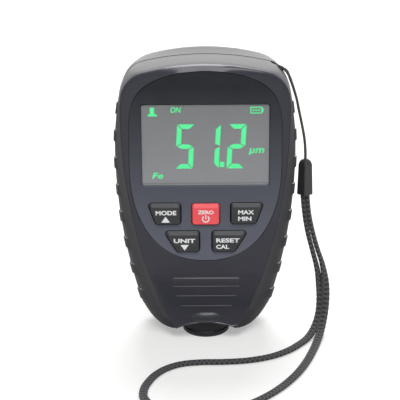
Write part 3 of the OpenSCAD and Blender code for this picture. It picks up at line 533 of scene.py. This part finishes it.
def unfold(bm):
    """Draws together the short edges of triangles that lie folded flat on their neighbours."""
    for _ in range(MEND_ROUNDS):
        bm.normal_update()
        folds = [e for e in bm.edges
                 if len(e.link_faces) == 2 and e.calc_face_angle() > math.radians(FOLD_DEG)]
        if not folds:
            return
        near = dict.fromkeys(e for fold in folds for face in fold.link_faces for e in face.edges)
        short = [e for e in near
                 if e.calc_length() < SHORT_EDGE and abs(e.verts[0].co.y - e.verts[1].co.y) < SAME]
        if not short:
            faces = [face for fold in folds for face in fold.link_faces]
            smallest = min(faces, key=lambda face: face.calc_area())
            short = [min(smallest.edges, key=lambda e: e.calc_length())]
        bmesh.ops.collapse(bm, edges=short)


def smoothed(name, node, finish, limit_deg, body="housing"):
    """Copy of a node with its triangles joined, smooth except along its sharp edges."""
    bm = bmesh.new()
    bm.from_mesh(nodes[node].data)
    bmesh.ops.remove_doubles(bm, verts=bm.verts, dist=SAME)
    unfold(bm)
    limit = math.radians(limit_deg)
    for face in bm.faces:
        face.smooth = True
        face.material_index = 0
    for edge in bm.edges:
        edge.smooth = len(edge.link_faces) == 2 and edge.calc_face_angle() < limit
    thing = piece(name, bm, finish, body)
    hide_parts(node)


def dress(finish, *names):
    """Gives CAD nodes a finish."""
    for name in names:
        nodes[name].data.materials.clear()
        nodes[name].data.materials.append(finish.owner)


def smooth_path(route, steps):
    """Points of a curve that passes smoothly through a route, in metres."""
    points = [Vector(p) * MM for p in route]
    path = []
    for i in range(len(points) - 1):
        before = points[max(i - 1, 0)]
        start, end = points[i], points[i + 1]
        after = points[min(i + 2, len(points) - 1)]
        for k in range(steps):
            t = k / steps
            path.append(0.5 * (2 * start + (end - before) * t
                               + (2 * before - 5 * start + 4 * end - after) * t * t
                               + (3 * start - before - 3 * end + after) * t ** 3))
    return path + [points[-1]]


def path_length(path):
    return sum((b - a).length for a, b in zip(path, path[1:]))


def swept(name, path, width, thick, sides, upright, finish, relief):
    """Tube of oval section along a path, with a map of millimetres along it and turns round it."""
    bm = bmesh.new()
    chart = bm.loops.layers.uv.new("UVMap")
    rings, marks, run = [], [], 0.0
    for i, point in enumerate(path):
        ahead = path[min(i + 1, len(path) - 1)] - path[max(i - 1, 0)]
        across = ahead.cross(Vector(upright)).normalized()
        over = across.cross(ahead).normalized()
        if i:
            run += (point - path[i - 1]).length
        ring = []
        for k in range(sides):
            turn = TURN * k / sides
            swell = 1 + relief(run / MM, k / sides)
            ring.append(bm.verts.new(point + swell * (across * width / 2 * math.cos(turn)
                                                      + over * thick / 2 * math.sin(turn))))
        rings.append(ring)
        marks.append(run / MM)
    for i in range(len(rings) - 1):
        for k in range(sides):
            n = (k + 1) % sides
            face = bm.faces.new((rings[i][k], rings[i][n], rings[i + 1][n], rings[i + 1][k]))
            face.smooth = True
            corners = ((marks[i], k), (marks[i], k + 1), (marks[i + 1], k + 1), (marks[i + 1], k))
            for loop, (u, v) in zip(face.loops, corners):
                loop[chart].uv = (u, v / sides)
    bm.faces.new(list(reversed(rings[0])))
    bm.faces.new(rings[-1])
    bmesh.ops.recalc_face_normals(bm, faces=bm.faces)
    return piece(name, bm, finish)


def twist_swell(run, turn):
    """Swelling of the thread's yarns at a run along it and a share of a turn round it."""
    return YARN_SWELL * math.sin(TURN * (run / THREAD_TWIST + YARNS * turn))


def braid_swell(run, turn):
    """Swelling of the braid's crossing yarns at a run along it and a share of a turn round it."""
    return YARN_SWELL * max(math.sin(TURN * (run / BRAID_CROSSING + YARNS * turn)),
                            math.sin(TURN * (run / BRAID_CROSSING - YARNS * turn)))


def make_cords():
    """The doubled thread from the eye to the clasp, and the wrist loop below the clasp."""
    thread_path = smooth_path(THREAD_ROUTE, THREAD_STEPS)
    thread = swept("thread_strands", thread_path, THREAD_D, THREAD_D, THREAD_SIDES, (0, 1, 0),
                   THREAD, twist_swell)
    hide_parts("strap_thread")
    path_length(thread_path)
    loop_path = smooth_path(LOOP_ROUTE, LOOP_STEPS)
    loop = swept("wrist_loop", loop_path, BRAID_W, BRAID_T, BRAID_SIDES, (0, 0, 1), BRAID, braid_swell)
    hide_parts("strap_loop")
    path_length(loop_path)


def flat_plate(name, outlines, y, thick, finish, body="housing"):
    """Thin plates from outlines in X and Z, with their fronts at a depth; all in millimetres."""
    bm = bmesh.new()
    for outline in outlines:
        corners = [bm.verts.new((x * MM, (y + thick) * MM, z * MM)) for x, z in outline]
        face = bm.faces.new(corners)
        grown = bmesh.ops.extrude_face_region(bm, geom=[face])
        fronts = [v for v in grown["geom"] if isinstance(v, bmesh.types.BMVert)]
        bmesh.ops.translate(bm, verts=fronts, vec=(0, -thick * MM, 0))
    bmesh.ops.recalc_face_normals(bm, faces=bm.faces)
    return piece(name, bm, finish, body)


def rounded(x0, x1, z0, z1, r, steps=6):
    """Rounded rectangle as an outline in X and Z."""
    corners = ((x1 - r, z1 - r, 0), (x0 + r, z1 - r, 90), (x0 + r, z0 + r, 180), (x1 - r, z0 + r, 270))
    return [(cx + r * math.cos(math.radians(start + 90 * k / steps)),
             cz + r * math.sin(math.radians(start + 90 * k / steps)))
            for cx, cz, start in corners for k in range(steps + 1)]


def window_outline(inset, r):
    """Outline of the window's opening, drawn in by an inset."""
    left, right, low, high = WINDOW
    return rounded(left + inset, right - inset, low + inset, high - inset, r)


def text_mesh(text, weight, slant):
    """Mesh of a line of text, one unit to the font's size."""
    curve = bpy.data.curves.new("text", "FONT")
    curve.body = text
    curve.offset = weight
    curve.shear = slant
    curve.extrude = 0.006
    curve.resolution_u = 4
    thing = bpy.data.objects.new("text", curve)
    scene.collection.objects.link(thing)
    bpy.context.view_layer.update()
    mesh = bpy.data.meshes.new_from_object(thing.evaluated_get(bpy.context.evaluated_depsgraph_get()))
    bpy.data.objects.remove(thing)
    return mesh


def lettering(name, words, box, y, finish, body="housing", weight=0.02, slant=0.0):
    """Words as a thin printed mesh that fills a box of X and Z with its capitals, facing the front."""
    left, right, low, high = (v * MM for v in box)
    rises = [v.co.y for v in text_mesh("H", weight, slant).vertices]
    bm = bmesh.new()
    bm.from_mesh(text_mesh(words, weight, slant))
    reaches = [v.co.x for v in bm.verts]
    wide = (right - left) / (max(reaches) - min(reaches))
    tall = (high - low) / (max(rises) - min(rises))
    bmesh.ops.translate(bm, verts=bm.verts, vec=(-min(reaches), -min(rises), 0))
    stand = Matrix.Rotation(math.radians(90), 4, "X") @ Matrix.Diagonal((wide, tall, tall, 1))
    bmesh.ops.transform(bm, matrix=Matrix.Translation((left, y * MM, low)) @ stand, verts=bm.verts)
    return piece(name, bm, finish, body)


def flat_bar(edge, inner):
    """Level bar of a figure from its outer edge to its inner one, mitred at both ends."""
    side, bar, gap = FIGURE_W / 2, FIGURE_BAR, FIGURE_GAP
    return [(-side + gap, edge), (side - gap, edge), (side - bar - gap, inner), (-side + bar + gap, inner)]


def upright_bar(outer, inner, end, start):
    """Upright bar of a figure between its end and its middle, mitred at both ends."""
    step = math.copysign(FIGURE_GAP, end - start)
    bend = math.copysign(FIGURE_BAR / 2, end - start)
    return [(outer, end - step), (outer, start + step),
            (inner, start + bend + step), (inner, end - 2 * bend - step)]


def middle_bar(middle):
    """Level bar across the middle of a figure, pointed at both ends."""
    side, half = FIGURE_W / 2, FIGURE_BAR / 2
    tip, inner = side - 2 * FIGURE_GAP, side - FIGURE_BAR - FIGURE_GAP
    return [(-tip, middle), (-inner, middle + half), (inner, middle + half),
            (tip, middle), (inner, middle - half), (-inner, middle - half)]


def figure_bars(digit, x):
    """Outlines of the lit bars of one seven-bar figure."""
    low, high, side, bar = FIGURE_LOW, FIGURE_HIGH, FIGURE_W / 2, FIGURE_BAR
    middle = (low + high) / 2
    left, right = (-side, bar - side), (side, side - bar)
    bars = {"a": flat_bar(high, high - bar), "d": flat_bar(low, low + bar), "g": middle_bar(middle),
            "f": upright_bar(*left, high, middle), "b": upright_bar(*right, high, middle),
            "e": upright_bar(*left, low, middle), "c": upright_bar(*right, low, middle)}
    return [[(x + u + FIGURE_LEAN * (v - middle), v) for u, v in bars[name]] for name in LIT_BARS[digit]]


def probe_sign():
    """Outlines of the sign of a probe standing on its plate."""
    return [rounded(-19.0, -16.0, 82.0, 82.7, 0.15), rounded(-18.3, -16.85, 83.0, 85.0, 0.25),
            [(-18.4, 82.6), (-16.7, 82.6), (-16.95, 83.2), (-18.15, 83.2)]]


def battery_sign():
    """Outlines of the battery sign: a frame, its pole and three dots."""
    left, right, low, high = 14.9, 18.8, 82.8, 85.1
    line, corner, pole, pitch, dot = 0.34, 0.15, 0.45, 0.87, 0.56
    frame_lines = [rounded(left, right, high - line, high, corner),
                   rounded(left, right, low, low + line, corner),
                   rounded(left, left + line, low, high, corner),
                   rounded(right - line, right, low, high, corner)]
    starts = [left + 0.8 + pitch * i for i in range(3)]
    dots = [rounded(start, start + dot, low + 0.85, high - 0.85, corner) for start in starts]
    return frame_lines + [rounded(right, right + pole, low + 0.5, high - 0.5, corner)] + dots


def make_window():
    """Pane in its chamfered opening, and the grey sheet of the display behind it."""
    pane = flat_plate("window_pane", [window_outline(PANE_INSET, SHEET_R)], PANE_Y, PANE_T, PANE)
    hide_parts("display_window")
    bm = bmesh.new()
    edges = []
    for inset, y in CHAMFER:
        loop = [bm.verts.new((u * MM, y * MM, v * MM)) for u, v in window_outline(inset, WINDOW_R - inset)]
        edges += [bm.edges.new((loop[i - 1], loop[i])) for i in range(len(loop))]
    bmesh.ops.bridge_loops(bm, edges=edges)
    bmesh.ops.recalc_face_normals(bm, faces=bm.faces)
    piece("window_chamfer", bm, PANEL)
    flat_plate("display_sheet", [window_outline(SHEET_INSET, SHEET_R)], SHEET_Y, SHEET_T, DISPLAY)


def make_display():
    """Lit figures, signs and words of the display."""
    figures = [bar for digit, x in FIGURES for bar in figure_bars(digit, x)]
    figures.append(rounded(*POINT, POINT_R))
    flat_plate("lit_figures", figures, LIT_Y, LIT_T, GREEN)
    flat_plate("lit_signs", probe_sign() + battery_sign(), LIT_Y, LIT_T, GREEN)
    words = (("lit_mode", "ON", (-11.5, -8.0, 83.2, 85.1)),
             ("lit_unit", "µm", (14.4, 19.6, 69.1, 71.6)),
             ("lit_base", "Fe", (-17.9, -14.1, 60.3, 62.4)))
    for name, text, box in words:
        lettering(name, text, box, LIT_Y, GREEN, slant=SIGN_LEAN)


def power_sign():
    """Outlines of the power sign: an open ring in short stretches, and its stroke."""
    height, outer, inner = 46.5, 1.3, 0.92
    opening, stretches = 76, 24
    ring = [math.radians(90 + opening / 2 + (360 - opening) * k / stretches) for k in range(stretches + 1)]
    arcs = []
    for start, end in zip(ring, ring[1:]):
        corners = ((outer, start), (outer, end), (inner, end), (inner, start))
        arcs.append([(r * math.cos(a), height + r * math.sin(a)) for r, a in corners])
    return arcs + [rounded(-0.19, 0.19, 46.4, 47.95, 0.08)]


def make_legends():
    """White words and signs on the keys."""
    words = (("mode", "MODE", (-16.9, -9.9, 47.9, 49.45), "mode_key"),
             ("zero", "ZERO", (-2.7, 2.7, 48.2, 49.5), "power_key"),
             ("max", "MAX", (10.9, 16.3, 48.05, 49.55), "max_min_key"),
             ("min", "MIN", (10.9, 15.4, 45.75, 47.25), "max_min_key"),
             ("unit", "UNIT", (-10.9, -3.6, 37.85, 39.35), "unit_key"),
             ("reset", "RESET", (3.5, 11.4, 37.95, 39.45), "cal_key"),
             ("cal", "CAL", (3.5, 7.9, 35.65, 37.15), "cal_key"))
    for name, text, box, body in words:
        lettering("legend_" + name, text, box, LEGEND_Y, INK, body, LEGEND_WEIGHT)
    signs = (("up", [[(-15.0, 45.25), (-12.1, 45.25), (-13.55, 47.4)]], "mode_key"),
             ("down", [[(-8.6, 37.15), (-7.2, 35.1), (-5.8, 37.15)]], "unit_key"),
             ("power", power_sign(), "power_key"))
    for name, outlines, body in signs:
        flat_plate("legend_" + name, outlines, LEGEND_Y, LEGEND_T, INK, body)


# Camera, floor and light

def set_camera():
    """Camera at the photograph's angle."""
    data = bpy.data.cameras.new("camera")
    data.sensor_width = SENSOR_W
    data.lens = CAMERA_LENS
    data.clip_start = 0.01
    camera = bpy.data.objects.new("camera", data)
    scene.collection.objects.link(camera)
    turn = Matrix.Rotation(math.radians(90 - CAMERA_DOWN), 4, "X")
    roll = Matrix.Rotation(math.radians(CAMERA_ROLL), 4, "Z")
    camera.matrix_world = Matrix.Translation(Vector(CAMERA_AT) * MM) @ turn @ roll
    scene.camera = camera


def area_light(name, at, target, size, power, colour=(1, 1, 1)):
    """Softbox at a place, turned to a target; lengths in metres."""
    data = bpy.data.lights.new(name, "AREA")
    data.shape = "RECTANGLE"
    data.size, data.size_y = size
    data.energy = power
    data.color = colour
    lamp = bpy.data.objects.new(name, data)
    lamp.visible_camera = False
    scene.collection.objects.link(lamp)
    aim = (Vector(target) - Vector(at)).to_track_quat("-Z", "Y").to_matrix().to_4x4()
    lamp.matrix_world = Matrix.Translation(at) @ aim


def make_stage():
    """Floor, white room and three softboxes."""
    bm = bmesh.new()
    bmesh.ops.create_grid(bm, x_segments=1, y_segments=1, size=FLOOR_HALF)
    bmesh.ops.translate(bm, verts=bm.verts, vec=(0, 0, -FLOOR_DROP))
    floor = mesh_object("floor", bm, FLOOR)
    studio_world()
    area_light("front_softbox", (0.05, -0.5, 0.64), (0, 0, 0.06), (0.52, 0.36), 4.4)
    area_light("top_softbox", (0.02, 0.37, 0.75), (0, 0, 0.08), (0.42, 0.36), 5.2)
    area_light("back_softbox", (0, 0.68, 0.32), (0, 0, 0.08), (0.5, 0.5), 0.82, (1, 1, 0.93))


set_camera()
make_cords()
smoothed("front_housing", "front_shell", HOUSING, SHELL_SHARP)
smoothed("rear_housing", "rear_shell", HOUSING, SHELL_SHARP)
smoothed("cover_skin", "battery_cover", HOUSING, SMALL_SHARP, "cover")
smoothed("foot_sleeve", "probe_sleeve", FOOT, SMALL_SHARP)
dress(CLASP, "strap_clasp")
dress(PANEL, "face_panel")
dress(DISPLAY, "lcd_glass")
dress(GUIDE, "lcd_backlight")
dress(ZEBRA, "zebra_strip")
dress(BOARD, "main_board")
dress(CHIP, "microcontroller", "buzzer")
dress(NICKEL, "key_domes", "battery_springs", "battery_contacts", "probe_spring")
dress(MAT, "keypad_mat")
dress(KEY, "key_mode_up", "key_max_min", "key_unit_down", "key_cal")
dress(POWER, "key_power")
dress(SLEEVE, "battery_cell_left", "battery_cell_right")
dress(STEEL, "probe_pole")
dress(BOBBIN, "probe_bobbin")
dress(WIRE, "probe_coil")
dress(FOOT, "probe_cap")
dress(ZINC, "housing_screws", "board_screws", "strap_pin")
make_window()
make_display()
make_legends()
make_stage()
